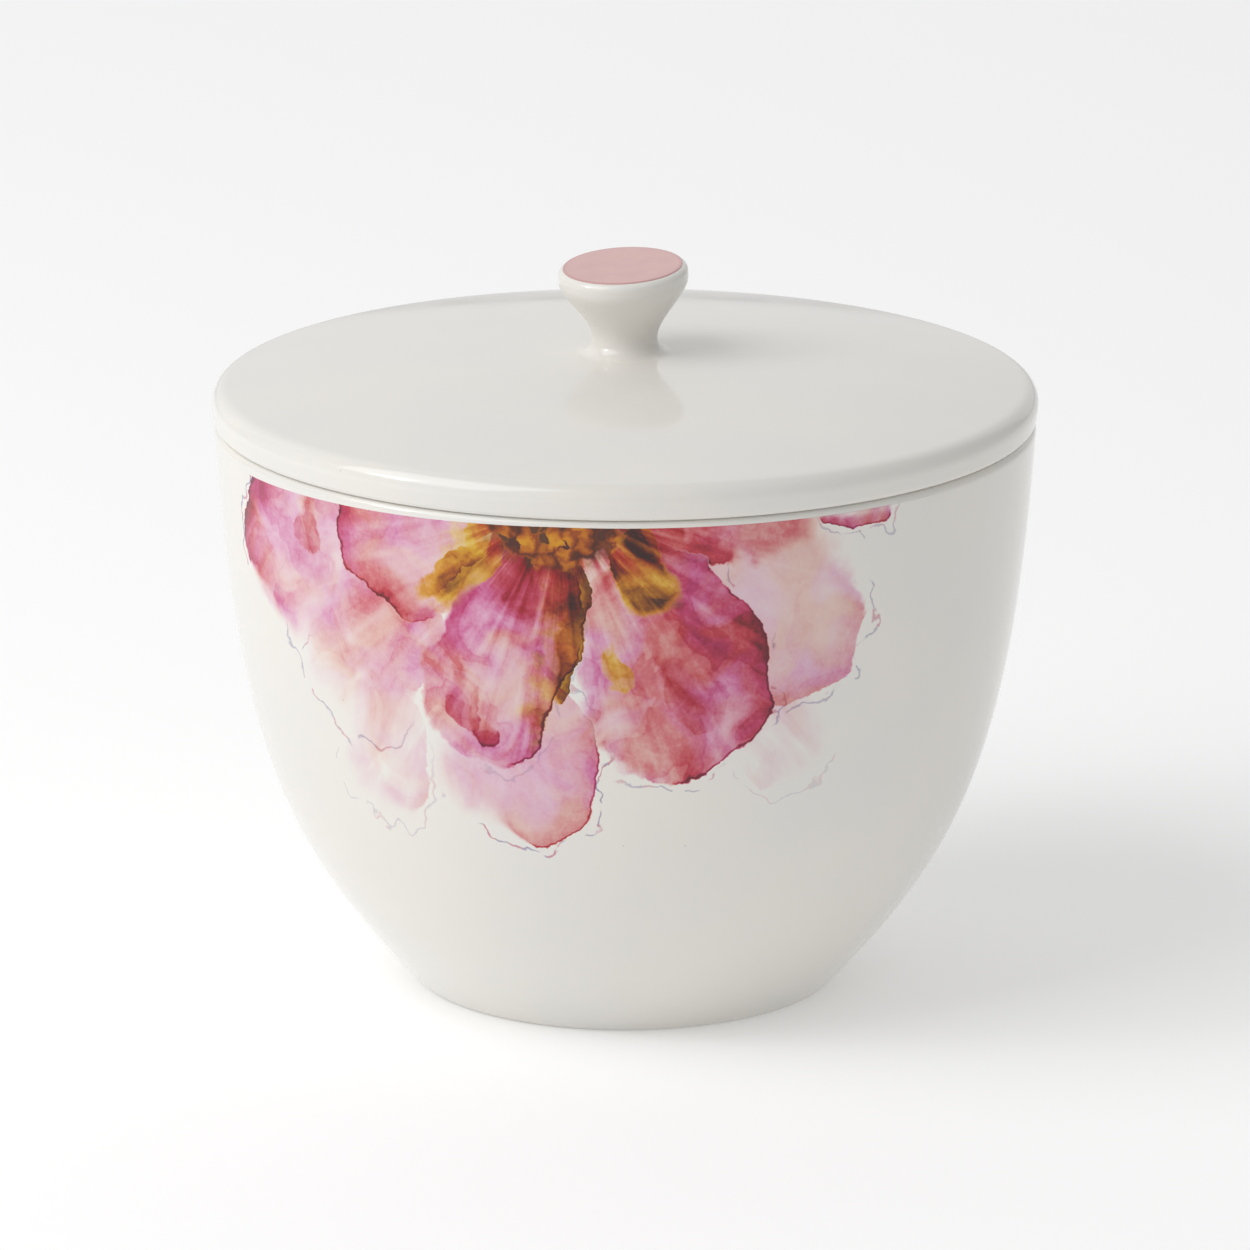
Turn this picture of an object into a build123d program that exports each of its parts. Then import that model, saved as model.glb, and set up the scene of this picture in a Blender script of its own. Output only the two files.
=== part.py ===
"""A round covered sugar bowl in glazed porcelain, in millimetres.

The origin is the centre of the foot's resting plane, +Z is up, and the painted
flower faces -Y. The bowl and the lid are turned shapes about the Z axis; the
knob leans a little, towards -X and the flower's side.
"""

import os
from math import cos, hypot, radians, sin

from build123d import *

# Bowl
BOWL_HEIGHT = 76.0
MOUTH_RADIUS = 54.2  # outside of the rim
FOOT_RADIUS = 27.8  # outside of the foot ring
FOOT_FLARE = 43.0  # degrees that the wall leans out from upright at the foot
RIM_FLARE = 3.6  # degrees at the rim
FOOT_PULL = 25.2  # how far the wall holds its direction at the foot
RIM_PULL = 45.0  # and at the rim
WALL = 3.0
FOOT_RING_WIDTH = 3.2
FOOT_RECESS = 1.8  # hollow under the base, inside the foot ring
BASE_THICKNESS = 3.6
FLOOR_PULL = 27.2  # reach of the flat of the inside floor
INSIDE_RIM_PULL = 74.2
RIM_ROUND = 1.15
FOOT_ROUND = 0.7
RECESS_ROUND = 1.2

# Lid
LID_RADIUS = 54.65  # at the shoulder, before it is rounded
LID_DRAFT = 0.5  # how much narrower the lid's edge is where it meets the bowl
LID_EDGE_HEIGHT = 4.4
DOME_TOP = 84.9
LID_WALL = 3.2
LID_SHOULDER_ROUND = 2.2
LID_SEAT_ROUND = 0.7
RING_CLEARANCE = 0.9  # free play between the locating ring and the mouth
RING_DEPTH = 5.0
RING_WALL = 2.8
RING_ROUND = 0.9
RING_ROOT_ROUND = 1.0
NECK_RADIUS = 4.3
NECK_HEIGHT = 86.95  # where the knob is luted to the lid's boss
BOSS_FLARE = 2.0

# Knob
KNOB_LENGTH = 9.6  # from neck to top along its leaning axis
KNOB_RADIUS = 8.6
KNOB_SHOULDER = 7.95  # height of the widest part above the neck
NECK_PULL = 2.5  # how far the knob's side stays upright at the neck
SHOULDER_PULL = 2.15  # and below the shoulder
KNOB_LEAN = 6.5  # degrees that the top tips over
KNOB_LEAN_TOWARDS = -126.0  # bearing of the lean, anticlockwise from +X
KNOB_TOP_ROUND = 1.0
KNOB_SECTIONS = 11
ENAMEL_RADIUS = 7.5
ENAMEL_THICKNESS = 0.1

# Flower transfer: a fired print on the bowl's front
TRANSFER_THICKNESS = 0.1
TRANSFER_TOP = 75.0
BLOSSOM_ACROSS = -7.0  # centre of the blossom from the bowl's middle
BLOSSOM_HEIGHT = 75.5
# Each petal: bearing from straight down, length, width, all seen from the front
PETALS = (
    (-78, 40, 17),
    (-52, 38, 21),
    (-19, 34, 18),
    (-9, 41, 19),
    (27, 37, 22),
    (56, 39, 20),
    (78, 43, 12),
)


def leaning(degrees_out, length):
    """A step of that length up a wall which leans out from upright."""
    angle = radians(degrees_out)
    return Vector(length * sin(angle), 0, length * cos(angle))


def wall_curve(gap=0.0):
    """The bowl's outside line from foot to rim, moved outwards by gap."""
    foot = Vector(FOOT_RADIUS, 0, 0)
    rim = Vector(MOUTH_RADIUS, 0, BOWL_HEIGHT)
    foot_out = Vector(gap * cos(radians(FOOT_FLARE)), 0, -gap * sin(radians(FOOT_FLARE)))
    rim_out = Vector(gap * cos(radians(RIM_FLARE)), 0, -gap * sin(radians(RIM_FLARE)))
    return Bezier(
        foot + foot_out,
        foot + foot_out + leaning(FOOT_FLARE, FOOT_PULL),
        rim + rim_out - leaning(RIM_FLARE, RIM_PULL),
        rim + rim_out,
    )


def turned(*edges):
    """The solid swept by a closed outline in the XZ plane turning about Z."""
    return revolve(make_face(Curve() + list(edges)), Axis.Z)


def circle_edge(shape, radius, height):
    """The round edge of a turned shape that lies nearest to a radius and height."""
    rings = shape.edges().filter_by(GeomType.CIRCLE)
    return min(rings, key=lambda e: hypot(e.radius - radius, e.arc_center.Z - height))


def eased(shape, radius, height, size):
    """The shape with the edge there rounded over."""
    return fillet(circle_edge(shape, radius, height), size)


def bowl_body():
    """The porcelain bowl with its foot ring, one casting."""
    ring_inside = FOOT_RADIUS - FOOT_RING_WIDTH
    floor = FOOT_RECESS + BASE_THICKNESS
    mouth_inside = MOUTH_RADIUS - WALL
    inside_rim = Vector(mouth_inside, 0, BOWL_HEIGHT)
    inside = Bezier(
        (0, 0, floor),
        (FLOOR_PULL, 0, floor),
        inside_rim - leaning(RIM_FLARE, INSIDE_RIM_PULL),
        inside_rim,
    )
    under = Polyline(
        (FOOT_RADIUS, 0, 0),
        (ring_inside, 0, 0),
        (ring_inside, 0, FOOT_RECESS),
        (0, 0, FOOT_RECESS),
        (0, 0, floor),
    )
    rim = Line(inside_rim, (MOUTH_RADIUS, 0, BOWL_HEIGHT))
    body = turned(wall_curve(), rim, inside, under)
    body = eased(body, MOUTH_RADIUS, BOWL_HEIGHT, RIM_ROUND)
    body = eased(body, mouth_inside, BOWL_HEIGHT, RIM_ROUND)
    body = eased(body, FOOT_RADIUS, 0, FOOT_ROUND)
    body = eased(body, ring_inside, 0, FOOT_ROUND)
    return eased(body, ring_inside, FOOT_RECESS, RECESS_ROUND)


def dome_height(radius, centre_height):
    """Height of the lid's dome at a radius: an arc through its centre and edge."""
    rise = DOME_TOP - BOWL_HEIGHT - LID_EDGE_HEIGHT
    sphere = (LID_RADIUS**2 + rise**2) / (2 * rise)
    return centre_height - sphere + (sphere**2 - radius**2) ** 0.5


def dome_arc(inner, outer, centre_height):
    """The dome's line between two radii."""
    points = [(r, 0, dome_height(r, centre_height)) for r in (inner, (inner + outer) / 2, outer)]
    return ThreePointArc(*points)


def lid_cover():
    """The porcelain lid: dome, edge, locating ring, and the boss the knob stands on."""
    seat_radius = LID_RADIUS - LID_DRAFT
    ring_outside = MOUTH_RADIUS - WALL - RING_CLEARANCE
    ring_inside = ring_outside - RING_WALL
    ring_foot = BOWL_HEIGHT - RING_DEPTH
    under_top = DOME_TOP - LID_WALL
    ring_root = dome_height(ring_inside, under_top)
    boss_foot = dome_height(NECK_RADIUS, DOME_TOP)
    lid = turned(
        dome_arc(0, ring_inside, under_top),
        Polyline(
            (ring_inside, 0, ring_root),
            (ring_inside, 0, ring_foot),
            (ring_outside, 0, ring_foot),
            (ring_outside, 0, BOWL_HEIGHT),
            (seat_radius, 0, BOWL_HEIGHT),
            (LID_RADIUS, 0, dome_height(LID_RADIUS, DOME_TOP)),
        ),
        dome_arc(NECK_RADIUS, LID_RADIUS, DOME_TOP),
        Polyline(
            (NECK_RADIUS, 0, boss_foot),
            (NECK_RADIUS, 0, NECK_HEIGHT),
            (0, 0, NECK_HEIGHT),
            (0, 0, under_top),
        ),
    )
    lid = eased(lid, NECK_RADIUS, boss_foot, BOSS_FLARE)
    lid = eased(lid, LID_RADIUS, dome_height(LID_RADIUS, DOME_TOP), LID_SHOULDER_ROUND)
    lid = eased(lid, seat_radius, BOWL_HEIGHT, LID_SEAT_ROUND)
    lid = eased(lid, ring_outside, ring_foot, RING_ROUND)
    lid = eased(lid, ring_inside, ring_foot, RING_ROUND)
    return eased(lid, ring_inside, ring_root, RING_ROOT_ROUND)


def knob_side():
    """The knob's side line: radius along X, and height above the neck along Z."""
    neck = Vector(NECK_RADIUS, 0, 0)
    shoulder = Vector(KNOB_RADIUS, 0, KNOB_SHOULDER)
    return Bezier(
        neck,
        neck + Vector(0, 0, NECK_PULL),
        shoulder - Vector(0, 0, SHOULDER_PULL),
        shoulder,
    )


def knob_plane(distance):
    """The plane across the knob at a distance along its axis, which bends over."""
    lean = radians(KNOB_LEAN) * distance / KNOB_LENGTH
    bend = KNOB_LENGTH / radians(KNOB_LEAN)
    aside = bend * (1 - cos(lean))
    bearing = radians(KNOB_LEAN_TOWARDS)
    along = Vector(cos(bearing), sin(bearing), 0)
    centre = Vector(0, 0, NECK_HEIGHT + bend * sin(lean)) + along * aside
    normal = along * sin(lean) + Vector(0, 0, cos(lean))
    return Plane(origin=centre, x_dir=along.cross(Vector(0, 0, 1)), z_dir=normal)


def lid_knob():
    """The leaning knob, cast apart and luted to the boss on the lid."""
    side = knob_side()
    points = [side @ (i / (KNOB_SECTIONS - 1)) for i in range(KNOB_SECTIONS)]
    flare = loft([knob_plane(point.Z) * Circle(point.X) for point in points])
    shoulder = knob_plane(KNOB_SHOULDER)
    crown = extrude(shoulder * Circle(KNOB_RADIUS), KNOB_LENGTH - KNOB_SHOULDER)
    knob = flare + crown
    top_edge = knob.edges().filter_by(GeomType.CIRCLE).sort_by(Axis.Z)[-1]
    return fillet(top_edge, KNOB_TOP_ROUND)


def knob_top():
    """The plane of the knob's flat top."""
    shoulder = knob_plane(KNOB_SHOULDER)
    return shoulder.offset(KNOB_LENGTH - KNOB_SHOULDER)


def knob_enamel():
    """The coloured enamel fired on top of the knob."""
    return extrude(knob_top() * Circle(ENAMEL_RADIUS), ENAMEL_THICKNESS)


def petal_outline(bearing, length, width):
    """One petal as an ellipse that hangs from the blossom's centre."""
    petal = Pos(0, -length / 2) * Ellipse(width / 2, length / 2)
    return Pos(BLOSSOM_ACROSS, BLOSSOM_HEIGHT) * Rot(0, 0, bearing) * petal


def flower_transfer():
    """The thin fired print on the bowl's front, in the outline of its petals."""
    inner, outer = wall_curve(), wall_curve(TRANSFER_THICKNESS)
    skin = turned(
        inner,
        Line(inner @ 1, outer @ 1),
        outer,
        Line(outer @ 0, inner @ 0),
    )
    blossom = Sketch() + [petal_outline(*petal) for petal in PETALS]
    below_rim = Pos(0, TRANSFER_TOP - BOWL_HEIGHT / 2) * Rectangle(2 * MOUTH_RADIUS, BOWL_HEIGHT)
    front = Plane.XZ * (blossom & below_rim)
    return skin & extrude(front, MOUTH_RADIUS + WALL)


def main():
    os.makedirs("parts", exist_ok=True)
    for make in (bowl_body, lid_cover, lid_knob, knob_enamel, flower_transfer):
        export_step(make(), f"parts/{make.__name__}.step")


main()
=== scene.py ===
"""Looks of the covered sugar bowl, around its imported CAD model.

The bowl, the lid and the knob are turned meshes on the CAD's own lines, glazed all
over but for the feet they were fired on. The blossom is a thin print on the bowl's
front, painted by nodes in millimetres of the unrolled wall. Lengths named in
millimetres become metres only where a mesh, a light or the camera is made.
"""
from collections import namedtuple
from math import cos, pi, radians, sin

import bpy
import numpy as np
from mathutils import Matrix, Vector


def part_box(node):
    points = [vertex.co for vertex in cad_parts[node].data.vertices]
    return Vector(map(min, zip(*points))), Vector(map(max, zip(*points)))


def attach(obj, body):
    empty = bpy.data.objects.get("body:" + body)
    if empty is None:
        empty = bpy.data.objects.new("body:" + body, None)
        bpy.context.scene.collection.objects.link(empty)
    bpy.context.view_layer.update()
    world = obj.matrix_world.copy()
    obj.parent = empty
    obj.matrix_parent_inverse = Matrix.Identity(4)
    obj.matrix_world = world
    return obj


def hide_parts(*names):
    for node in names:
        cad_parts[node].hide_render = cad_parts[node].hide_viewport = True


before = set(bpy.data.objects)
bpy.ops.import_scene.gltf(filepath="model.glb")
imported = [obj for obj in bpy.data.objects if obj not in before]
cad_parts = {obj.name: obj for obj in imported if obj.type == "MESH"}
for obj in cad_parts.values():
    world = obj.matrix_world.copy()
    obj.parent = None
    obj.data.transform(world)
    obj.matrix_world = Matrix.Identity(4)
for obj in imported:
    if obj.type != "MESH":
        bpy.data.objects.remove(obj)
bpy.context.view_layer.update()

MM = 0.001

# ---------------------------------------------------------------- CAD dimensions, mm

BOWL_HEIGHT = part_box("bowl_body")[1].z / MM
MOUTH_RADIUS = 54.2
FOOT_RADIUS = 27.8
FOOT_FLARE = 43.0
RIM_FLARE = 3.6
FOOT_PULL = 25.2
RIM_PULL = 45.0
WALL = 3.0
FOOT_RING_WIDTH = 3.2
FOOT_RECESS = 1.8
BASE_THICKNESS = 3.6
FLOOR_PULL = 27.2
INSIDE_RIM_PULL = 74.2
RIM_ROUND = 1.15
FOOT_ROUND = 0.7
RECESS_ROUND = 1.2
SEEN_RECESS_ROUND = RECESS_ROUND / 2  # so that the short wall keeps a straight part

LID_RADIUS = 54.65
LID_DRAFT = 0.5
LID_EDGE_HEIGHT = 4.4
DOME_TOP = 84.9
LID_WALL = 3.2
LID_SHOULDER_ROUND = 2.2
LID_SEAT_ROUND = 0.7
RING_OUTSIDE = 50.3
RING_WALL = 2.8
RING_DEPTH = 5.0
RING_ROUND = 0.9
RING_ROOT_ROUND = 1.0
NECK_RADIUS = 4.3
NECK_HEIGHT = 86.95
BOSS_FLARE = 2.0

KNOB_LENGTH = 9.6
KNOB_RADIUS = 8.6
KNOB_SHOULDER = 7.95
NECK_PULL = 2.5
SHOULDER_PULL = 2.15
KNOB_LEAN = 6.5
KNOB_LEAN_TOWARDS = -126.0
KNOB_TOP_ROUND = 1.0
ENAMEL_THICKNESS = 0.1

# ---------------------------------------------------------------- the looks' own lengths, mm

ENAMEL_REACH = 7.9  # how far the enamel runs over the knob's rounded edge
ENAMEL_SHARE = 0.8  # of the CAD layer's thickness
ENAMEL_BEAD = (0.03, 0.06)  # how far its edge bulges out and hangs down
ENAMEL_SUNK = 0.4  # how deep its back lies under the knob's top
BARE_HEIGHT = 0.4  # how far up from a foot its flats are left unglazed
FACING_DOWN = -0.9  # a flat's normal points at least this far down

PRINT_MAP = "print"
FRONT = 270  # degrees about the bowl, anticlockwise from +X
PRINT_SCALE = 54.0  # millimetres of print for a radian of turn about the bowl
PRINT_LEFT, PRINT_RIGHT = -78, 48  # degrees about the bowl from its front
PRINT_BOTTOM, PRINT_TOP = 27.0, 75.1
PRINT_CUT = -10  # degrees about the bowl, left of which the print's top is cut lower
PRINT_FALL = 0.9  # millimetres that the top falls in a radian there
PRINT_HEM = 0.1  # how far its sunk rim reaches beyond its edge
PRINT_STEP = 1.25  # degrees between its columns of points
PRINT_ROWS = 49
PRINT_PROUD = 0.03  # how far it stands off the wall, away from its edge
PRINT_EDGE = 0.008  # how far it stands proud at its edge
PRINT_SUNK = 0.25  # how deep its back lies in the wall

# ---------------------------------------------------------------- turned meshes

# Chords in a full turn, in each rounded corner, and along each line
TURN_STEPS = 288
KNOB_TURN_STEPS = 128
ROUND_STEPS = 8
WALL_STEPS = 72
DOME_STEPS = 40
UNDERSIDE_STEPS = 24
KNOB_STEPS = 28
FLAT_STEPS = 6
CROWN_STEPS = 4
EDGE_STEPS = 2
SAMPLED_WALL_STEPS = 400

NOTHING = 1e-6
SHORTEST_CHORD = 0.01
SHARPEST_SMOOTH = radians(30)


def line(start, end, steps=1):
    """A straight line as points (radius, height)."""
    return np.linspace(start, end, steps + 1)


def bezier(start, near_start, near_end, end, steps):
    """A cubic curve as points."""
    t = np.linspace(0, 1, steps + 1)[:, None]
    points = np.array([start, near_start, near_end, end], float)
    weights = ((1 - t) ** 3, 3 * t * (1 - t) ** 2, 3 * t * t * (1 - t), t**3)
    return sum(w * p for w, p in zip(weights, points))


def step_up(degrees_out, length):
    """A step up a wall that leans out from upright."""
    return np.array([length * sin(radians(degrees_out)), length * cos(radians(degrees_out))])


def corner_arc(start, corner, end):
    """The round arc that touches both legs of a corner at start and end."""
    a, b = start - corner, end - corner
    cosine = np.dot(a, b) / (np.linalg.norm(a) * np.linalg.norm(b))
    weight = sin(np.arccos(np.clip(cosine, -1, 1)) / 2)
    t = np.linspace(0, 1, ROUND_STEPS + 1)[:, None]
    parts = ((1 - t) ** 2, 2 * weight * t * (1 - t), t * t)
    return (parts[0] * start + parts[1] * corner + parts[2] * end) / sum(parts)


def cut_back(curve, at_start, at_end):
    """A line without its first and last few millimetres."""
    lengths = np.concatenate([[0], np.cumsum(np.hypot(*np.diff(curve, axis=0).T))])
    low, high = at_start, lengths[-1] - at_end
    inner = curve[(lengths > low + SHORTEST_CHORD) & (lengths < high - SHORTEST_CHORD)]
    ends = [[np.interp(s, lengths, curve[:, k]) for k in (0, 1)] for s in (low, high)]
    return np.vstack([ends[0], inner, ends[1]])


def joined(curves, rounds):
    """One line from several that meet end to end, with its corners rounded."""
    sizes = [0, *rounds, 0]
    parts = [cut_back(c, sizes[i], sizes[i + 1]) for i, c in enumerate(curves)]
    whole = [parts[0]]
    for i, part in enumerate(parts[1:]):
        if rounds[i]:
            whole.append(corner_arc(parts[i][-1], curves[i + 1][0], part[0])[1:-1])
            whole.append(part)
        else:
            whole.append(part[1:])
    return np.vstack(whole)


def upright(radius, height, turn):
    """The point of a turned surface, in millimetres."""
    return (radius * cos(turn), radius * sin(turn), height)


def turned_mesh(name, outline, place=upright, steps=TURN_STEPS):
    """A closed mesh turned from an outline of (radius, height) points.

    The outline runs so that the solid lies on its left. A point on the axis becomes
    one vertex.
    """
    verts, rings, faces = [], [], []
    for radius, height in outline.tolist():
        turns = steps if radius > NOTHING else 1
        rings.append([len(verts) + i for i in range(turns)])
        verts += [place(radius, height, 2 * pi * i / steps) for i in range(turns)]
    for low, high in zip(rings, rings[1:]):
        for i in range(steps):
            j = (i + 1) % steps
            corners = [low[i % len(low)], low[j % len(low)], high[j % len(high)], high[i % len(high)]]
            faces.append(list(dict.fromkeys(corners)))
    mesh = bpy.data.meshes.new(name)
    mesh.from_pydata([Vector(v) * MM for v in verts], [], faces)
    return add_object(name, smoothed(mesh))


def smoothed(mesh):
    """The mesh shaded smooth, except over its sharp corners."""
    mesh.shade_smooth()
    mesh.set_sharp_from_angle(angle=SHARPEST_SMOOTH)
    return mesh


def add_object(name, data):
    """A new object with that data, in the scene."""
    made = bpy.data.objects.new(name, data)
    bpy.context.scene.collection.objects.link(made)
    return made


# ---------------------------------------------------------------- outlines of the pieces


def outer_wall(steps=WALL_STEPS):
    """The bowl's outside line from foot to rim."""
    foot, rim = np.array([FOOT_RADIUS, 0]), np.array([MOUTH_RADIUS, BOWL_HEIGHT])
    low, high = foot + step_up(FOOT_FLARE, FOOT_PULL), rim - step_up(RIM_FLARE, RIM_PULL)
    return bezier(foot, low, high, rim, steps)


def inner_wall(steps=WALL_STEPS):
    """The bowl's inside line from the middle of its floor to the rim."""
    floor = np.array([0, FOOT_RECESS + BASE_THICKNESS])
    rim = np.array([MOUTH_RADIUS - WALL, BOWL_HEIGHT])
    reach = floor + np.array([FLOOR_PULL, 0])
    return bezier(floor, reach, rim - step_up(RIM_FLARE, INSIDE_RIM_PULL), rim, steps)


def bowl_outline():
    """The whole bowl, from the middle of its underside out, up and back in."""
    outer, inner = outer_wall(), inner_wall()
    inside_foot = FOOT_RADIUS - FOOT_RING_WIDTH
    return joined(
        [
            line((0, FOOT_RECESS), (inside_foot, FOOT_RECESS), FLAT_STEPS),
            line((inside_foot, FOOT_RECESS), (inside_foot, 0)),
            line((inside_foot, 0), (FOOT_RADIUS, 0)),
            outer,
            line(outer[-1], inner[-1]),
            inner[::-1],
        ],
        [SEEN_RECESS_ROUND, FOOT_ROUND, FOOT_ROUND, RIM_ROUND, RIM_ROUND],
    )


def dome_height(radius, centre_height):
    """The height at a radius of an arc through the lid's centre and edge."""
    rise = DOME_TOP - BOWL_HEIGHT - LID_EDGE_HEIGHT
    sphere = (LID_RADIUS**2 + rise**2) / (2 * rise)
    return centre_height - sphere + (sphere**2 - radius**2) ** 0.5


def dome_line(start, end, centre_height, steps):
    return np.array([(r, dome_height(r, centre_height)) for r in np.linspace(start, end, steps + 1)])


def lid_outline():
    """The whole lid, from the middle of its underside out, up and back in."""
    ring_inside = RING_OUTSIDE - RING_WALL
    ring_foot = BOWL_HEIGHT - RING_DEPTH
    under = dome_line(0, ring_inside, DOME_TOP - LID_WALL, UNDERSIDE_STEPS)
    dome = dome_line(LID_RADIUS, NECK_RADIUS, DOME_TOP, DOME_STEPS)
    seat = (LID_RADIUS - LID_DRAFT, BOWL_HEIGHT)
    return joined(
        [
            under,
            line(under[-1], (ring_inside, ring_foot)),
            line((ring_inside, ring_foot), (RING_OUTSIDE, ring_foot)),
            line((RING_OUTSIDE, ring_foot), (RING_OUTSIDE, BOWL_HEIGHT)),
            line((RING_OUTSIDE, BOWL_HEIGHT), seat),
            line(seat, dome[0], EDGE_STEPS),
            dome,
            line(dome[-1], (NECK_RADIUS, NECK_HEIGHT)),
            line((NECK_RADIUS, NECK_HEIGHT), (0, NECK_HEIGHT)),
        ],
        [RING_ROOT_ROUND, RING_ROUND, RING_ROUND, 0, LID_SEAT_ROUND, LID_SHOULDER_ROUND, BOSS_FLARE, 0],
    )


def knob_outline():
    """The knob by radius and by distance along its axis."""
    side = bezier(
        (NECK_RADIUS, 0),
        (NECK_RADIUS, NECK_PULL),
        (KNOB_RADIUS, KNOB_SHOULDER - SHOULDER_PULL),
        (KNOB_RADIUS, KNOB_SHOULDER),
        KNOB_STEPS,
    )
    return joined(
        [
            line((0, 0), side[0]),
            side,
            line(side[-1], (KNOB_RADIUS, KNOB_LENGTH)),
            line((KNOB_RADIUS, KNOB_LENGTH), (0, KNOB_LENGTH), CROWN_STEPS),
        ],
        [0, 0, KNOB_TOP_ROUND],
    )


def leaning_place(radius, height, turn):
    """A point of the knob, whose axis bends over from the neck, in millimetres."""
    whole = radians(KNOB_LEAN)
    bend = KNOB_LENGTH / whole
    lean = whole * min(height, KNOB_SHOULDER) / KNOB_LENGTH
    bearing = radians(KNOB_LEAN_TOWARDS)
    along = Vector((cos(bearing), sin(bearing), 0))
    axis = along * sin(lean) + Vector((0, 0, cos(lean)))
    centre = Vector((0, 0, NECK_HEIGHT + bend * sin(lean))) + along * bend * (1 - cos(lean))
    centre += axis * max(0, height - KNOB_SHOULDER)
    across = axis.cross(along)
    return tuple(centre + radius * (cos(turn) * across.cross(axis) + sin(turn) * across))


# ---------------------------------------------------------------- node helpers


AXES = ((1, 0, 0), (0, 1, 0), (0, 0, 1))


class Net:
    """Adds nodes to one tree. A value is a number, a colour, a vector or a socket.

    No vector is linked to a colour or a Separate XYZ here. Cycles converts those with
    extra nodes that it runs last, and a long chain of groups then overflows its stack.
    """

    def __init__(self, tree):
        self.tree = tree

    def put(self, socket, value):
        if isinstance(value, bpy.types.NodeSocket):
            self.tree.links.new(value, socket)
        else:
            socket.default_value = value

    def add(self, kind, inputs, **settings):
        node = self.tree.nodes.new(kind)
        for key, value in settings.items():
            setattr(node, key, value)
        for key, value in inputs.items():
            self.put(node.inputs[key], value)
        return node

    def math(self, operation, *values):
        return self.add("ShaderNodeMath", dict(enumerate(values)), operation=operation).outputs[0]

    def times(self, *values):
        product = values[0]
        for value in values[1:]:
            product = self.math("MULTIPLY", product, value)
        return product

    def plus(self, *values):
        total = values[0]
        for value in values[1:]:
            total = self.math("ADD", total, value)
        return total

    def vector(self, operation, *values):
        return self.add("ShaderNodeVectorMath", dict(enumerate(values)), operation=operation).outputs[0]

    def scaled(self, vector, factor):
        inputs = {"Vector": vector, "Scale": factor}
        return self.add("ShaderNodeVectorMath", inputs, operation="SCALE").outputs[0]

    def shares(self, vector, directions):
        """How far a vector reaches in each of the directions."""
        return [self.dot(vector, direction) for direction in directions]

    def apart(self, vector):
        """The parts of a vector."""
        return self.shares(vector, AXES)

    def together(self, x, y, z=0.0):
        return self.add("ShaderNodeCombineXYZ", {0: x, 1: y, 2: z}).outputs[0]

    def ease(self, value, low, high, to_low=0.0, to_high=1.0):
        """A smooth step from to_low to to_high as the value goes from low to high."""
        inputs = {"Value": value, "From Min": low, "From Max": high, "To Min": to_low, "To Max": to_high}
        node = self.add("ShaderNodeMapRange", inputs, interpolation_type="SMOOTHSTEP")
        return node.outputs[0]

    def blend(self, factor, a, b, mode="MIX"):
        node = self.add("ShaderNodeMix", {0: factor, 6: a, 7: b}, data_type="RGBA", blend_type=mode)
        return node.outputs[2]

    def noise(self, place, grain, detail=2.0, warp=0.0, flat=False):
        """Noise whose patches are about as wide as the grain, in the place's units."""
        inputs = {"Vector": place, "Scale": 1 / grain, "Detail": detail, "Distortion": warp}
        dimensions = "2D" if flat else "3D"
        return self.add("ShaderNodeTexNoise", inputs, noise_dimensions=dimensions).outputs["Fac"]

    def swings(self, place, grain, detail, warp=0.0):
        """Three flat noises about zero, as one vector."""
        inputs = {"Vector": place, "Scale": 1 / grain, "Detail": detail, "Distortion": warp}
        noise = self.add("ShaderNodeTexNoise", inputs, noise_dimensions="2D").outputs["Color"]
        parts = self.add("ShaderNodeSeparateColor", {0: noise}).outputs
        return self.vector("SUBTRACT", self.together(*parts[0:3]), (0.5, 0.5, 0.5))

    def about_zero(self, value, size):
        """A noise value of 0 to 1 as a swing of up to the size either way."""
        return self.math("MULTIPLY_ADD", value, self.times(2.0, size), self.times(-1.0, size))

    def dot(self, a, b):
        node = self.add("ShaderNodeVectorMath", {0: a, 1: b}, operation="DOT_PRODUCT")
        return node.outputs["Value"]

    def length(self, vector):
        return self.add("ShaderNodeVectorMath", {0: vector}, operation="LENGTH").outputs["Value"]

    def ramp(self, value, *stops):
        """A colour ramp of (position, colour) stops."""
        node = self.add("ShaderNodeValToRGB", {0: value})
        elements = node.color_ramp.elements
        for element, (position, colour) in zip(elements, stops):
            element.position = position
            element.color = colour
        for position, colour in stops[2:]:
            elements.new(position).color = colour
        return node.outputs["Color"]


# ---------------------------------------------------------------- materials

WHITE = (1.0, 1.0, 1.0, 1.0)


def shade(red, green, blue):
    """A colour given by its display values, 0 to 255, as Blender's linear values."""
    return tuple(((c / 255 + 0.055) / 1.055) ** 2.4 for c in (red, green, blue)) + (1.0,)


def new_material(name):
    """A material with its node net, its shader, and object coordinates in millimetres."""
    material = bpy.data.materials.new(name)
    material.use_nodes = True
    net = Net(material.node_tree)
    shader = material.node_tree.nodes["Principled BSDF"]
    place = net.scaled(net.add("ShaderNodeTexCoord", {}).outputs["Object"], 1 / MM)
    return material, net, shader, place


def glaze_tone(net, place):
    """The white of the glazed porcelain, a little uneven, with a few fine specks."""
    warm = net.noise(place, 24.0, 3.0)
    tone = net.blend(net.ease(warm, 0.3, 0.7), (0.777, 0.762, 0.727, 1), (0.805, 0.778, 0.728, 1))
    cells = net.add("ShaderNodeTexVoronoi", {"Vector": place, "Scale": 0.25}).outputs
    rare = net.math("GREATER_THAN", net.apart(cells["Color"])[0], 0.9)
    speck = net.times(net.ease(cells["Distance"], 0.012, 0.035, 1.0, 0.0), rare, 0.55)
    return net.blend(speck, tone, (0.3, 0.24, 0.19, 1))


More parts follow.
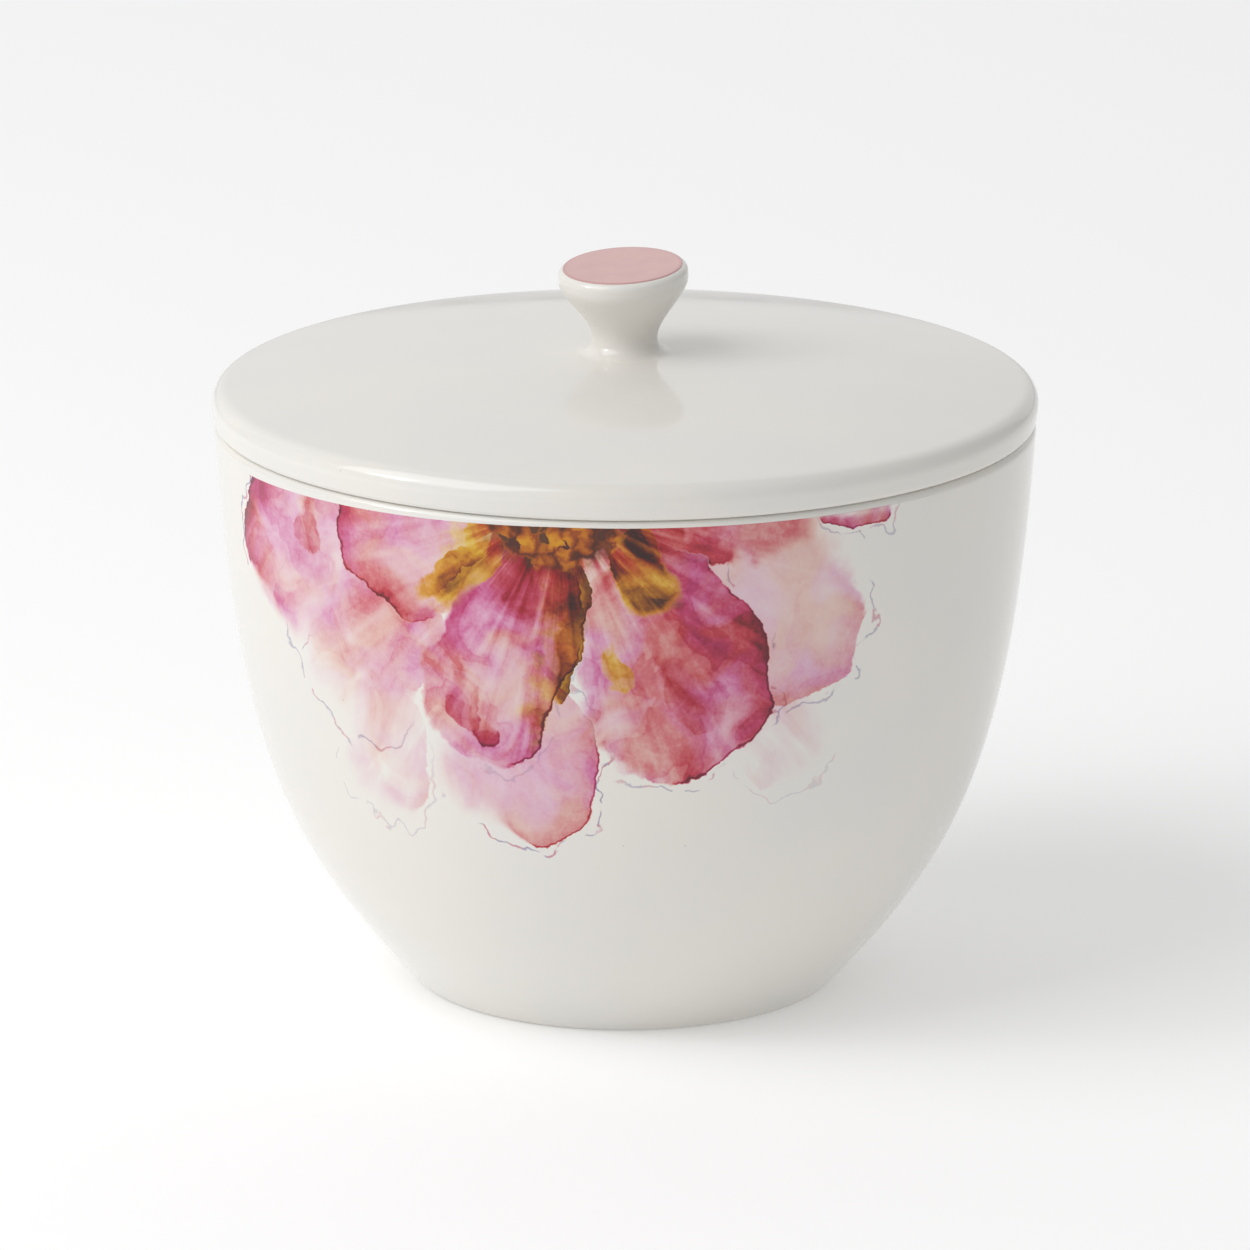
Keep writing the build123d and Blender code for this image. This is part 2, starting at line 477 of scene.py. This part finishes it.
def glaze_gloss(net, shader, place):
    """A fired glaze's gloss: soft rolls, fine orange peel, and slightly uneven shine."""
    rolls = net.noise(place, 15.0, 1.0)
    peel = net.noise(place, 1.3, 2.0)
    height = net.plus(net.times(rolls, 0.022), net.times(peel, 0.0009))
    bump = net.add("ShaderNodeBump", {"Strength": 1.0, "Distance": MM, "Height": height})
    net.put(shader.inputs["Normal"], bump.outputs[0])
    uneven = net.noise(place, 7.0, 3.0)
    net.put(shader.inputs["Roughness"], net.ease(uneven, 0.3, 0.7, 0.085, 0.135))
    shader.inputs["IOR"].default_value = 1.5


def glaze():
    """The clear gloss glaze on white porcelain."""
    material, net, shader, place = new_material("glaze")
    net.put(shader.inputs["Base Color"], glaze_tone(net, place))
    glaze_gloss(net, shader, place)
    return material


def bisque():
    """The bare fired body, where the piece stood in the kiln."""
    material, net, shader, place = new_material("bisque")
    grain = net.noise(place, 0.5, 4.0)
    worn = net.noise(place, 6.0, 3.0)
    tone = net.blend(net.ease(grain, 0.3, 0.7), (0.60, 0.56, 0.50, 1), (0.72, 0.69, 0.63, 1))
    tone = net.blend(net.ease(worn, 0.55, 0.75, 0.0, 0.5), tone, (0.47, 0.42, 0.36, 1))
    net.put(shader.inputs["Base Color"], tone)
    net.put(shader.inputs["Roughness"], net.ease(grain, 0.2, 0.8, 0.65, 0.9))
    inputs = {"Strength": 1.0, "Distance": MM, "Height": net.times(grain, 0.03)}
    net.put(shader.inputs["Normal"], net.add("ShaderNodeBump", inputs).outputs[0])
    return material


def pink_enamel():
    """Glossy pink, thin over the top and pooled dark in a fine line at its edge."""
    material, net, shader, place = new_material("pink_enamel")
    centre = Vector(leaning_place(0, KNOB_LENGTH, 0))
    radius = net.length(net.vector("SUBTRACT", place, centre))
    cloudy = net.noise(place, 3.2, 3.0)
    brushed = net.noise(net.vector("MULTIPLY", place, (0.5, 2.4, 1.0)), 1.1, 3.0)
    tone = net.blend(net.ease(cloudy, 0.3, 0.7), shade(217, 173, 169), shade(212, 168, 166))
    tone = net.blend(net.ease(brushed, 0.45, 0.8, 0.0, 0.2), tone, shade(222, 182, 177))
    wander = net.plus(radius, net.about_zero(net.noise(place, 1.6, 2.0), 0.12))
    pooled = net.ease(wander, ENAMEL_REACH - 0.6, ENAMEL_REACH - 0.05, 0.0, 0.6)
    tone = net.blend(pooled, tone, shade(190, 140, 140))
    net.put(shader.inputs["Base Color"], tone)
    glaze_gloss(net, shader, place)
    return material


# ---------------------------------------------------------------- the painted blossom

# One wash of colour. Lengths are in millimetres of the unrolled wall. A bearing runs
# from straight down, anticlockwise: 90 is to the right, -90 to the left, 180 up.
Wash = namedtuple(
    "Wash",
    "centre half turn tone "  # where it is, its half width and length, how dense its colour is
    "egg wobble slope slope_to core cloud vein "  # its shape, and how its density varies
    "edge edge_to line fade fade_to "  # a dense rim on one side, a fine dried line, a soft end
    "warm ochre ochre_to cover outline",  # hue, what it hides, and a fine drawn outline
    defaults=(
        *(0.15, 1.0, 0.0, 0.0, 0.0, 0.12, 0.1),
        *(0.2, 0.0, 0.0, 2.0, 180.0),
        *(0.4, 0.0, 180.0, 0.8, 0.0),
    ),
)

# From the back to the front. More than 22 overflow the renderer's shader stack.
WASHES = (
    # faint washes furthest back
    Wash((-36, 42), (8, 10), -12, 0.10, cloud=0.04, edge=0.04, fade=6, fade_to=-60, outline=0.3),
    Wash((22, 47), (6, 8), 10, 0.10, cloud=0.04, edge=0.0, fade=5, fade_to=90, outline=0.25),
    # the two pale petals on the right
    Wash((19.5, 64), (12.5, 14.5), 18, 0.26, slope=0.06, slope_to=-10, core=-0.03, cloud=0.05, vein=0.03,
         edge=0.14, edge_to=50, fade=4, fade_to=180, warm=0.7, outline=0.6),
    Wash((31.5, 75), (2.6, 5.5), 72, 0.38, cloud=0.15, edge=0.3, edge_to=10, line=0.4, warm=0.5,
         outline=0.5),
    # the lower left and the lowest petal
    Wash((-38, 58), (13, 14.5), -46, 0.21, slope=0.16, slope_to=140, core=0.14, cloud=0.10, edge=0.0,
         edge_to=-60, fade=8, fade_to=-30, warm=0.45, outline=0.6),
    Wash((-14.5, 43), (12, 12), -20, 0.28, slope=0.08, slope_to=60, cloud=0.06, vein=0.04, edge=0.15,
         edge_to=50, line=0.45, fade=6, fade_to=-90, warm=0.5, outline=0.8),
    # the outer and inner petals on the left
    Wash((-50, 68), (10.5, 14), -48, 0.42, slope=0.12, slope_to=-110, core=-0.12, cloud=0.14, edge=0.25,
         edge_to=-80, line=0.4, fade=6, fade_to=30, warm=0.15, outline=0.8),
    Wash((-46, 71), (2.5, 4.5), -10, 0.33, cloud=0.2, edge=0.0, fade=3, warm=1.2, cover=0.0),
    Wash((-28, 73.5), (11, 12), -40, 0.42, slope=0.08, slope_to=-150, core=-0.06, cloud=0.08, vein=0.08,
         edge=0.3, edge_to=-80, line=0.4, fade=1.5, fade_to=110, warm=0.6, ochre=0.7, ochre_to=80),
    # the dark folded strip at the top right
    Wash((10, 76), (5.4, 17), 86, 0.56, slope=0.16, slope_to=-100, cloud=0.12, vein=0.12, edge=0.35,
         edge_to=0, line=0.4, fade=5, fade_to=95, warm=1.3),
    # the two full petals in the middle
    Wash((-16.6, 57.5), (9.3, 16.5), -22, 0.54, slope=0.28, slope_to=165, core=-0.10, cloud=0.15, vein=0.13,
         edge=0.25, edge_to=50, line=0.6, fade=1.0, fade_to=-90, warm=0.4, ochre=0.6, ochre_to=90,
         outline=0.3),
    Wash((5.9, 57), (12.2, 16.6), 19, 0.51, slope=0.23, slope_to=135, core=0.04, cloud=0.15, vein=0.12,
         edge=0.16, edge_to=60, line=0.5, fade=1.4, fade_to=-100, warm=0.6, outline=0.6),
    # stronger touches laid into the full petals
    Wash((-22.5, 51.5), (1.8, 5), -12, 0.30, cloud=0.2, edge=0.1, fade=2, warm=0.6, cover=0.0),
    Wash((-19.5, 45.5), (2.2, 2.2), 30, 0.32, cloud=0.2, edge=0.3, edge_to=0, line=0.3, warm=0.2, cover=0.0),
    Wash((8, 56), (3.5, 9), 24, 0.24, cloud=0.2, edge=0.0, fade=4, warm=1.0, cover=0.0),
    Wash((-1.2, 56), (1.3, 4), 14, 0.25, cloud=0.2, edge=0.0, fade=2, ochre=1.0, cover=0.3),
    # ochre brushed out from the blossom's middle
    Wash((-7.4, 61), (1.7, 10), -7, 0.62, cloud=0.15, vein=0.1, edge=0.2, edge_to=90, line=0.3, fade=2.5,
         fade_to=-90, warm=0.8, ochre=1.0, cover=0.0),
    Wash((-20, 70.5), (3.2, 8), -38, 0.50, cloud=0.2, vein=0.2, edge=0.15, edge_to=-20, fade=3,
         fade_to=-60, ochre=1.0, cover=0.6),
    Wash((-23, 68), (1.3, 7), -58, 0.50, cloud=0.2, vein=0.1, edge=0.15, edge_to=-20, line=0.2, fade=2,
         fade_to=-60, ochre=1.0, cover=0.0),
    Wash((1.5, 69.5), (4.2, 6.5), 28, 0.74, cloud=0.3, vein=0.16, edge=0.1, fade=2, fade_to=30, ochre=1.0,
         cover=0.6),
    # deep red and brown gathered round the heart
    Wash((-6.5, 75), (14, 9), 0, 0.60, cloud=0.25, vein=0.3, edge=0.0, fade=5, fade_to=0, warm=1.2,
         ochre=0.5, ochre_to=180, cover=0.0),
    Wash((-11.5, 70), (6.5, 10), -8, 0.64, slope=0.2, slope_to=180, cloud=0.2, vein=0.25, edge=0.0, fade=4.5,
         fade_to=0, warm=2.0, ochre=0.5, ochre_to=180, cover=0.0),
)

COOL_REDS = (
    (0.0, WHITE),
    (0.15, shade(249, 226, 240)),
    (0.35, shade(240, 184, 218)),
    (0.55, shade(226, 128, 182)),
    (0.75, shade(206, 62, 128)),
    (0.9, shade(170, 32, 88)),
    (1.0, shade(124, 24, 66)),
)
WARM_REDS = (
    (0.0, WHITE),
    (0.15, shade(250, 228, 224)),
    (0.35, shade(240, 188, 186)),
    (0.55, shade(228, 130, 138)),
    (0.75, shade(208, 60, 80)),
    (0.9, shade(166, 32, 52)),
    (1.0, shade(112, 26, 36)),
)
OCHRES = (
    (0.0, WHITE),
    (0.2, shade(250, 236, 180)),
    (0.4, shade(240, 208, 76)),
    (0.6, shade(214, 158, 14)),
    (0.8, shade(152, 94, 8)),
    (1.0, shade(80, 44, 14)),
)
STAMEN_GOLDS = (
    (0.3, shade(234, 172, 14)),
    (0.5, shade(208, 122, 2)),
    (0.65, shade(166, 76, 0)),
    (0.8, shade(106, 44, 4)),
    (1.0, shade(56, 22, 14)),
)
BLUE_PENCIL = shade(160, 152, 194)
RED_PENCIL = shade(212, 116, 148)
FULLNESS = 2.5  # 2 would make every wash an ellipse, more fills its corners
EVERYWHERE = -3.0  # further back than any side of a wash
OCHRE_SIDE = 0.35  # where the ochre of a wash that is ochre on one side sets in
BLOSSOM_HEART = (-8, 79, 0)
STAMENS_CENTRE = (-9, 77.2, 0)
STAMENS_HALF = (10.5, 8.6)
GOLDEN_TURN = 2.4  # radians between one wash's share of the common noise and the next one's


def bearing(degrees, turn):
    """A bearing as a direction across and along a wash that is turned."""
    return (sin(radians(degrees - turn)), cos(radians(degrees - turn)), 0)


def wash_inputs(wash, number):
    """A wash's numbers by the names of the node group's inputs."""
    turn = radians(wash.turn)
    share = Matrix.Rotation(GOLDEN_TURN * number, 3, (1, 1, 1))
    return {
        "Share X": tuple(share[0]),
        "Share Y": tuple(share[1]),
        "Share Z": tuple(share[2]),
        "Centre": (*wash.centre, 0),
        "Across": (cos(turn), sin(turn), 0),
        "Along": (sin(turn), -cos(turn), 0),
        "Half Width": wash.half[0],
        "Half Length": wash.half[1],
        "Egg": wash.egg,
        "Wobble": wash.wobble,
        "Tone": wash.tone,
        "Slope": tuple(wash.slope * c for c in bearing(wash.slope_to, wash.turn)),
        "Core": wash.core,
        "Cloud": wash.cloud,
        "Vein": wash.vein,
        "Edge": wash.edge,
        "Edge To": bearing(wash.edge_to, wash.turn),
        "Line": wash.line,
        "Fade": wash.fade,
        "Fade To": bearing(wash.fade_to, wash.turn),
        "Warm": wash.warm,
        "Ochre": wash.ochre,
        "Ochre From": EVERYWHERE if wash.ochre == 1.0 else OCHRE_SIDE,
        "Ochre To": bearing(wash.ochre_to, wash.turn),
        "Cover": wash.cover,
        "Outline": wash.outline,
    }


def wash_group(shared):
    """The node group that lays one wash over the colours beneath it."""
    tree = bpy.data.node_groups.new("wash", "ShaderNodeTree")
    kinds = {float: "NodeSocketFloat", int: "NodeSocketFloat", tuple: "NodeSocketVector"}
    sockets = {name: kinds[type(value)] for name, value in wash_inputs(WASHES[0], 0).items()}
    sockets |= {name: "NodeSocketVector" for name in shared}
    sockets["Under"] = "NodeSocketColor"
    for name, kind in sockets.items():
        tree.interface.new_socket(name, in_out="INPUT", socket_type=kind)
    tree.interface.new_socket("Colour", in_out="OUTPUT", socket_type="NodeSocketColor")
    net = Net(tree)
    given = net.add("NodeGroupInput", {}).outputs
    net.add("NodeGroupOutput", {"Colour": wash_colour(net, given)})
    return tree


def wash_colour(net, given):
    """The colours beneath a wash, with the wash and its outline over them."""
    directions = [given["Share X"], given["Share Y"], given["Share Z"]]
    sway, broad, middle = (net.shares(given[name], directions) for name in ("Sway", "Broad", "Middle"))
    point, depth, way = wash_shape(net, given, sway)
    body = wash_body(net, given, depth, way, broad[2])
    density = wash_density(net, given, point, depth, way, broad[0], middle)
    hue = net.plus(given["Warm"], net.times(broad[1], 3.4))
    tint = wash_tint(net, given, point, net.times(body, density), hue)
    hidden = net.blend(net.times(body, given["Cover"]), given["Under"], WHITE)
    painted = net.blend(1.0, hidden, tint, "MULTIPLY")
    pencil = net.blend(net.ease(middle[0], 0.0, 0.06), BLUE_PENCIL, RED_PENCIL)
    drawn = drawn_outline(net, given, depth, way, broad[2], middle[1])
    return net.blend(drawn, painted, pencil, "MULTIPLY")


def wash_shape(net, given, sway):
    """Where a point is in the wash: as a share of its half size, how deep inside its
    rim in millimetres, and which way from its middle."""
    bent = net.scaled(net.together(*sway[0:2]), net.times(given["Wobble"], 5.0))
    away = net.vector("SUBTRACT", net.vector("ADD", given["Place"], bent), given["Centre"])
    across, along = net.dot(away, given["Across"]), net.dot(away, given["Along"])
    down = net.math("DIVIDE", along, given["Half Length"])
    width = net.times(given["Half Width"], net.plus(1.0, net.times(given["Egg"], down)))
    point = net.together(net.math("DIVIDE", across, width), down)
    powers = (net.math("POWER", net.math("ABSOLUTE", part), FULLNESS) for part in net.apart(point)[0:2])
    ratio = net.math("MAXIMUM", net.math("POWER", net.plus(*powers), 1 / FULLNESS), 0.01)
    reach = net.length(net.together(across, along))
    depth = net.times(reach, net.math("SUBTRACT", net.math("DIVIDE", 1.0, ratio), 1.0))
    return point, depth, net.add("ShaderNodeVectorMath", {0: point}, operation="NORMALIZE").outputs[0]


def wash_body(net, given, depth, way, uneven):
    """Full inside the rim, and soft over the wash's fading side."""
    side = net.plus(net.dot(way, given["Fade To"]), net.times(uneven, 1.6))
    soft = net.ease(side, -0.2, 0.6, 0.25, given["Fade"])
    return net.ease(depth, -0.05, soft)


def wash_density(net, given, point, depth, way, cloud, middle):
    """How dense the colour is, from 0 for none to 1."""
    side = net.dot(way, given["Edge To"])
    broken = net.ease(net.plus(side, net.times(middle[0], 2.0)), -0.1, 0.6)
    pooled = net.times(given["Edge"], broken, net.ease(depth, 0.0, 6.0, 1.0, 0.0))
    line = net.times(given["Line"], broken, net.ease(depth, 0.15, 0.6, 1.0, 0.0))
    hollow = net.times(given["Core"], net.math("SUBTRACT", 1.0, net.dot(point, point)))
    tide = net.times(net.math("SUBTRACT", net.ease(cloud, 0.03, 0.04), net.ease(cloud, 0.04, 0.12)), 0.5)
    swing = net.times(given["Cloud"], net.plus(net.times(cloud, 5.0), tide))
    texture = net.apart(given["Texture"])
    total = net.plus(given["Tone"], net.dot(point, given["Slope"]), hollow, swing, pooled)
    total = net.plus(total, line, net.times(texture[2], given["Vein"]))
    return net.plus(total, net.times(texture[0], net.ease(total, 0.05, 0.5)))


def wash_tint(net, given, point, density, hue):
    """The wash's colour for its density."""
    red = net.blend(hue, net.ramp(density, *COOL_REDS), net.ramp(density, *WARM_REDS))
    side = net.plus(net.dot(point, given["Ochre To"]), net.apart(given["Texture"])[1])
    ochre = net.times(given["Ochre"], net.ease(side, given["Ochre From"], net.plus(given["Ochre From"], 0.5)))
    return net.blend(ochre, red, net.ramp(density, *OCHRES))


def drawn_outline(net, given, depth, way, strokes, wander):
    """A fine broken line that wanders just outside the rim."""
    off = net.math("ABSOLUTE", net.plus(depth, 0.9, net.times(wander, 4.0)))
    strokes = net.ease(strokes, -0.05, 0.01)
    side = net.ease(net.dot(way, given["Edge To"]), -0.3, 0.3)
    return net.times(net.ease(off, 0.04, 0.28, 1.0, 0.0), strokes, side, given["Outline"])


def shared_noise(net, place):
    """A frayed place, and the noise that all washes take their share of, about zero."""
    shared = {
        "Place": net.vector("ADD", place, net.swings(place, 1.3, 3.0)),
        "Sway": net.swings(place, 9.0, 1.0),
        "Broad": net.swings(place, 8.0, 2.0, 0.5),
        "Middle": net.swings(place, 4.0, 1.5),
    }
    fine = net.about_zero(net.noise(place, 0.5, 2.0, flat=True), 0.07)
    mottled = net.about_zero(net.noise(place, 1.8, 3.0, 0.5, flat=True), 0.12)
    brushed = net.about_zero(net.noise(place, 2.6, 3.0, flat=True), 0.5)
    shared["Texture"] = net.together(net.plus(fine, mottled), brushed, streaks(net, place))
    return shared


def streaks(net, place):
    """Brush streaks that fan out from the blossom's heart."""
    x, y = net.apart(net.vector("SUBTRACT", place, BLOSSOM_HEART))[0:2]
    out = net.length(net.together(x, y))
    fan = net.together(net.times(net.math("ARCTAN2", x, net.times(y, -1.0)), 11.0), net.times(out, 0.055))
    return net.about_zero(net.noise(fan, 1.0, 3.0, 0.4, flat=True), 2.0)


def stamens(net, place, under):
    """The crowd of yellow stamens and dark anthers at the blossom's middle."""
    own = net.vector("ADD", place, net.scaled(net.swings(place, 1.8, 3.0), 3.0))
    shrink = (1 / STAMENS_HALF[0], 1 / STAMENS_HALF[1], 0)
    away = net.vector("MULTIPLY", net.vector("SUBTRACT", own, STAMENS_CENTRE), shrink)
    inside = net.ease(net.length(away), 0.78, 1.0, 1.0, 0.0)
    crowd = {"Vector": own, "Scale": 0.52, "Smoothness": 0.5}
    cells = net.add("ShaderNodeTexVoronoi", crowd, voronoi_dimensions="2D", feature="SMOOTH_F1").outputs
    pick, other = net.apart(cells["Color"])[0:2]
    density = net.plus(net.times(other, 0.3), net.ease(cells["Distance"], 0.1, 0.9, 0.35, 0.75))
    tint = net.ramp(density, *STAMEN_GOLDS)
    dark = net.times(net.ease(pick, 0.5, 0.6), net.ease(cells["Distance"], 0.3, 0.6, 0.9, 0.0))
    tint = net.blend(dark, tint, shade(66, 28, 26))
    return net.blend(inside, under, tint)


def blossom(net, place):
    """The whole print as the share of light that it lets through to the glaze."""
    shared = shared_noise(net, place)
    group = wash_group(shared)
    colour = WHITE
    for i, wash in enumerate(WASHES):
        inputs = wash_inputs(wash, i) | shared | {"Under": colour}
        colour = net.add("ShaderNodeGroup", inputs, node_tree=group).outputs[0]
    return stamens(net, place, colour)


def flower_print():
    """The blossom over the glaze's own white, under the glaze's gloss."""
    material, net, shader, place = new_material("flower_print")
    sheet = net.add("ShaderNodeUVMap", {}, uv_map=PRINT_MAP).outputs[0]
    colour = net.blend(1.0, glaze_tone(net, place), blossom(net, sheet), "MULTIPLY")
    net.put(shader.inputs["Base Color"], colour)
    glaze_gloss(net, shader, place)
    return material


# ---------------------------------------------------------------- pieces


def give(piece, body, slot, *nodes):
    """Hands a finished piece over to the frame."""
    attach(piece, body)
    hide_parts(*nodes)


def paint_below(piece, materials, height):
    """The first material, and the second on the flats below a height in millimetres."""
    for material in materials:
        piece.data.materials.append(material)
    for face in piece.data.polygons:
        flat_down = face.normal.z < FACING_DOWN
        face.material_index = int(flat_down and face.center.z < height * MM)


def enamel_outline():
    """A thin skin over the knob's flat top and round its edge."""
    turn_in = KNOB_RADIUS - KNOB_TOP_ROUND
    below = KNOB_LENGTH - KNOB_TOP_ROUND
    reach = KNOB_TOP_ROUND + ENAMEL_THICKNESS * ENAMEL_SHARE
    ends = np.arccos((ENAMEL_REACH - turn_in) / reach), pi / 2
    over = [(turn_in + reach * cos(a), below + reach * sin(a)) for a in np.linspace(*ends, ROUND_STEPS)]
    edge = (ENAMEL_REACH + ENAMEL_BEAD[0], over[0][1] - ENAMEL_BEAD[1])
    foot = (ENAMEL_REACH, KNOB_LENGTH - ENAMEL_SUNK)
    flat = line(over[-1], (0, over[-1][1]), FLAT_STEPS)[1:]
    return np.vstack([(0, foot[1]), (turn_in / 2, foot[1]), foot, edge, over, flat])


def wall_at(outline, height, gap):
    """Radius and height of the point at a height on the wall, moved out by a gap."""
    slope = np.gradient(outline[:, 0], outline[:, 1])
    radius, lean = (np.interp(height, outline[:, 1], values) for values in (outline[:, 0], slope))
    share = gap / (1 + lean**2) ** 0.5
    return float(radius + share), float(height - lean * share)


def print_height(share, turn):
    """The height at a share of the way up the print, whose top falls on its left."""
    top = PRINT_TOP - PRINT_FALL * max(0, radians(FRONT + PRINT_CUT) - turn)
    return PRINT_BOTTOM + share * (top - PRINT_BOTTOM)


def print_gap(outer, steps_in):
    """How far a point of the print is off the wall, by its steps from the skin's edge."""
    if not outer:
        return -PRINT_SUNK
    return (-PRINT_SUNK / 2, PRINT_EDGE, PRINT_PROUD)[min(steps_in, 2)]


def print_mesh(name):
    """A thin closed skin on the bowl's front, its rim sunk into the wall."""
    outline = outer_wall(SAMPLED_WALL_STEPS)
    turns = [radians(FRONT + a) for a in np.arange(PRINT_LEFT, PRINT_RIGHT + 0.1, PRINT_STEP)]
    hem_turn = PRINT_HEM / PRINT_SCALE
    columns = [turns[0] - hem_turn, *turns, turns[-1] + hem_turn]
    rows = [(share, 0) for share in np.linspace(0, 1, PRINT_ROWS).tolist()]
    rows = [(0, -PRINT_HEM), *rows, (1, PRINT_HEM)]
    verts, flats = [], []
    for outer in (True, False):
        for i, (share, hem) in enumerate(rows):
            for j, turn in enumerate(columns):
                steps_in = min(i, j, len(rows) - 1 - i, len(columns) - 1 - j)
                height = print_height(share, turn) + hem
                radius, level = wall_at(outline, height, print_gap(outer, steps_in))
                verts.append(Vector(upright(radius, level, turn)) * MM)
                flats.append(((turn - radians(FRONT)) * PRINT_SCALE, height))
    return skin_from_grid(name, verts, flats, len(rows), len(columns))


def skin_from_grid(name, verts, flats, rows, columns):
    """A closed mesh from an outer and an inner grid of points, with its print map."""
    faces = []
    layer = rows * columns
    for i in range(rows - 1):
        for j in range(columns - 1):
            a = i * columns + j
            quad = (a, a + 1, a + 1 + columns, a + columns)
            faces.append(quad)
            faces.append(tuple(layer + k for k in reversed(quad)))
    border = list(range(columns))
    border += [i * columns + columns - 1 for i in range(1, rows)]
    border += [(rows - 1) * columns + j for j in range(columns - 2, -1, -1)]
    border += [i * columns for i in range(rows - 2, 0, -1)]
    for a, b in zip(border, border[1:] + border[:1]):
        faces.append((b, a, layer + a, layer + b))
    mesh = bpy.data.meshes.new(name)
    mesh.from_pydata(verts, [], faces)
    print_map = mesh.uv_layers.new(name=PRINT_MAP)
    for loop in mesh.loops:
        print_map.data[loop.index].uv = flats[loop.vertex_index]
    return add_object(name, smoothed(mesh))


def main():
    white, bare = glaze(), bisque()
    bowl = turned_mesh("bowl_glazed", bowl_outline())
    paint_below(bowl, (white, bare), BARE_HEIGHT)
    give(bowl, "bowl", "porcelain", "bowl_body")
    blossom_skin = print_mesh("flower_print")
    blossom_skin.data.materials.append(flower_print())
    give(blossom_skin, "bowl", "flower_print", "flower_transfer")
    lid = turned_mesh("lid_glazed", lid_outline())
    paint_below(lid, (white, bare), BOWL_HEIGHT - RING_DEPTH + BARE_HEIGHT)
    give(lid, "lid", "porcelain", "lid_cover")
    knob = turned_mesh("knob_glazed", knob_outline(), leaning_place, KNOB_TURN_STEPS)
    knob.data.materials.append(white)
    give(knob, "lid", "porcelain", "lid_knob")
    enamel = turned_mesh("knob_top_enamel", enamel_outline(), leaning_place, KNOB_TURN_STEPS)
    enamel.data.materials.append(pink_enamel())
    give(enamel, "lid", "pink_enamel", "knob_enamel")


# ---------------------------------------------------------------- stage

CAMERA_DISTANCE = 1.3
CAMERA_ELEVATION = 15.9
CAMERA_LENS = 282.0
SENSOR_WIDTH = 36.0
AIM_HEIGHT = 47.5 * MM
PIVOT_HEIGHT = 38.2 * MM


def camera():
    data = bpy.data.cameras.new("camera")
    data.lens = CAMERA_LENS
    data.sensor_width = SENSOR_WIDTH
    data.clip_end = 20.0
    made = add_object("camera", data)
    elevation = radians(CAMERA_ELEVATION)
    made.location = (
        0,
        -CAMERA_DISTANCE * cos(elevation),
        PIVOT_HEIGHT + CAMERA_DISTANCE * sin(elevation),
    )
    aim = Vector((0, 0, AIM_HEIGHT)) - made.location
    made.rotation_euler = aim.to_track_quat("-Z", "Y").to_euler()
    bpy.context.scene.camera = made


FLOOR_REACH = 6.0
FLOOR_WHITE = (0.85, 0.85, 0.85, 1)
FLOOR_GLOW = 0.22


def floor():
    """A wide matt white table that glows very slightly."""
    mesh = bpy.data.meshes.new("floor")
    corners = [(x * FLOOR_REACH, y * FLOOR_REACH, 0) for x, y in ((-1, -1), (1, -1), (1, 1), (-1, 1))]
    mesh.from_pydata(corners, [], [(0, 1, 2, 3)])
    made = add_object("floor", mesh)
    material, _, shader, _ = new_material("floor")
    shader.inputs["Base Color"].default_value = FLOOR_WHITE
    shader.inputs["Roughness"].default_value = 1.0
    shader.inputs["Specular IOR Level"].default_value = 0.0
    shader.inputs["Emission Color"].default_value = WHITE
    shader.inputs["Emission Strength"].default_value = FLOOR_GLOW
    made.data.materials.append(material)


SKY = 0.46
LIGHT_TARGET = (0, 0, 50 * MM)
# Each soft box: bearing from the front towards the right, elevation, distance, size, watts
SOFTBOXES = {
    "key": (-65, 47, 1.1, (0.9, 0.8), 5.5),
    "sparkle": (-71, 31, 1.1, (0.22, 0.22), 1.0),
    "back": (-176, 32, 1.2, (2.2, 1.4), 3.3),
    "fill": (-40, 28, 1.1, (1.1, 1.0), 0.8),
}


def softbox(name, turn, elevation, distance, size, power):
    data = bpy.data.lights.new(name, "AREA")
    data.shape = "RECTANGLE"
    data.size, data.size_y = size
    data.energy = power
    made = add_object(name, data)
    across, up = distance * cos(radians(elevation)), distance * sin(radians(elevation))
    away = Vector((across * sin(radians(turn)), -across * cos(radians(turn)), up))
    made.location = Vector(LIGHT_TARGET) + away
    made.rotation_euler = away.to_track_quat("Z", "Y").to_euler()
    made.visible_camera = False


def studio():
    world = bpy.data.worlds.new("studio")
    world.use_nodes = True
    world.node_tree.nodes["Background"].inputs["Color"].default_value = WHITE
    world.node_tree.nodes["Background"].inputs["Strength"].default_value = SKY
    bpy.context.scene.world = world
    bpy.context.scene.view_settings.view_transform = "Standard"
    for name, values in SOFTBOXES.items():
        softbox(name, *values)


main()
camera()
floor()
studio()
